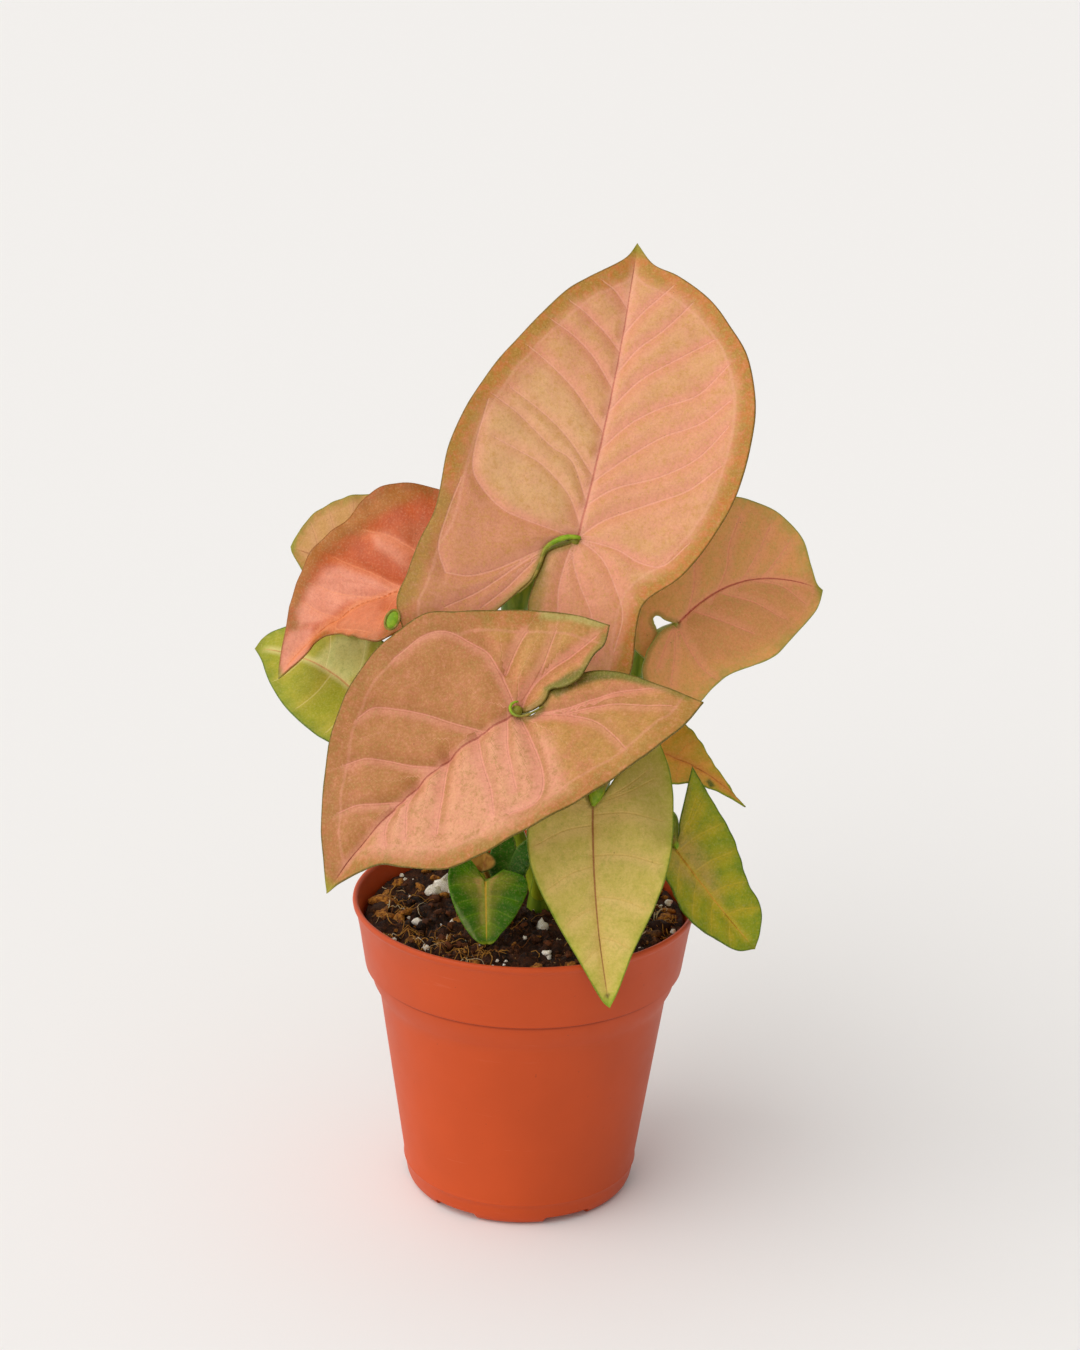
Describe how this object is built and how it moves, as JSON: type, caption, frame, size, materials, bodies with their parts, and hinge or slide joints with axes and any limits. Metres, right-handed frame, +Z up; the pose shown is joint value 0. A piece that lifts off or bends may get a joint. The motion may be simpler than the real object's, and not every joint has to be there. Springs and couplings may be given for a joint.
{
  "type": "arrowhead plant",
  "caption": "Pink arrowhead plant with large heart-shaped pink, coral, tan and lime leaves on green stalks, standing in a soil-filled round plastic nursery pot.",
  "frame": {"origin": "middle of the pot's base, on the surface that the pot stands on", "axes": "+Z up along the pot's axis, -Y towards the front of the plant, +X to its right"},
  "size_m": [0.1743, 0.1196, 0.2868],
  "materials": {
    "pot_plastic": "terracotta orange moulded plastic, satin",
    "potting_mix": "dark peat with bark, coir and white perlite",
    "stalk_green": "fresh green, waxy",
    "leaf_pink": "dusty pink leaf with tan margin, soft satin",
    "leaf_coral": "coral young leaf, glossier",
    "leaf_tan": "tan leaf with pink veins, soft satin",
    "leaf_lime": "lime green leaf, soft satin",
    "leaf_sage": "yellow green leaf with brown midrib, soft satin",
    "leaf_dark_green": "dark green juvenile leaf, soft satin"
  },
  "bodies": {
    "root": {"pot": "pot_plastic", "soil": "potting_mix", "stalks_main": "stalk_green", "stalks_left": "stalk_green", "stalks_right": "stalk_green", "stalks_small": "stalk_green", "leaf_crown": "leaf_pink", "leaf_front": "leaf_pink", "leaf_coral": "leaf_coral", "leaf_tan": "leaf_tan", "leaf_lime": "leaf_lime", "leaf_right_back": "leaf_tan", "leaf_small_pink": "leaf_pink", "leaf_right_lime": "leaf_lime", "leaf_hanging": "leaf_sage", "leaf_small_green": "leaf_dark_green", "leaf_second_green": "leaf_dark_green"}
  },
  "joints": []
}
